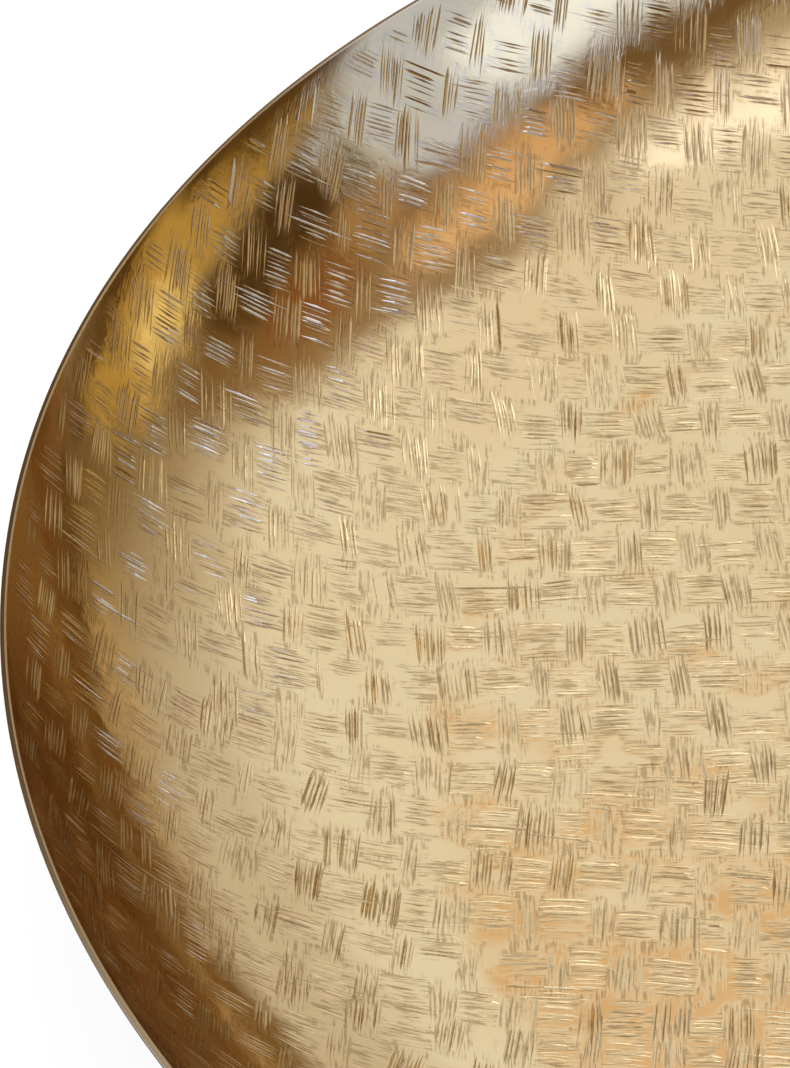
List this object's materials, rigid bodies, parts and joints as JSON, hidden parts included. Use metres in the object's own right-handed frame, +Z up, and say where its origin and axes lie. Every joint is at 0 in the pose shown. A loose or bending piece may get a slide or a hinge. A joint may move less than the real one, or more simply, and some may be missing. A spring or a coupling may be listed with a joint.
{
  "type": "brass tray",
  "caption": "Round dished brass serving tray with a hand-struck basket-weave hatch, a plain cut rim and stick-on felt pads under its flat floor.",
  "frame": {"origin": "on the tray's axis, in the plane that the pads stand on", "axes": "+Z up along the tray's axis; +X to the right and +Y away from someone who looks along +Y; the struck hatch lies roughly along X and Y"},
  "size_m": [0.36, 0.36, 0.039],
  "materials": {
    "struck_brass": "polished, hand-struck",
    "felt": "pressed wool felt",
    "adhesive_film": "double-sided adhesive film"
  },
  "bodies": {
    "root": {"dish": "struck_brass", "felt_pad_1": "felt", "felt_pad_2": "felt", "felt_pad_3": "felt", "felt_pad_4": "felt", "adhesive_disc_1": "adhesive_film", "adhesive_disc_2": "adhesive_film", "adhesive_disc_3": "adhesive_film", "adhesive_disc_4": "adhesive_film"}
  },
  "joints": []
}
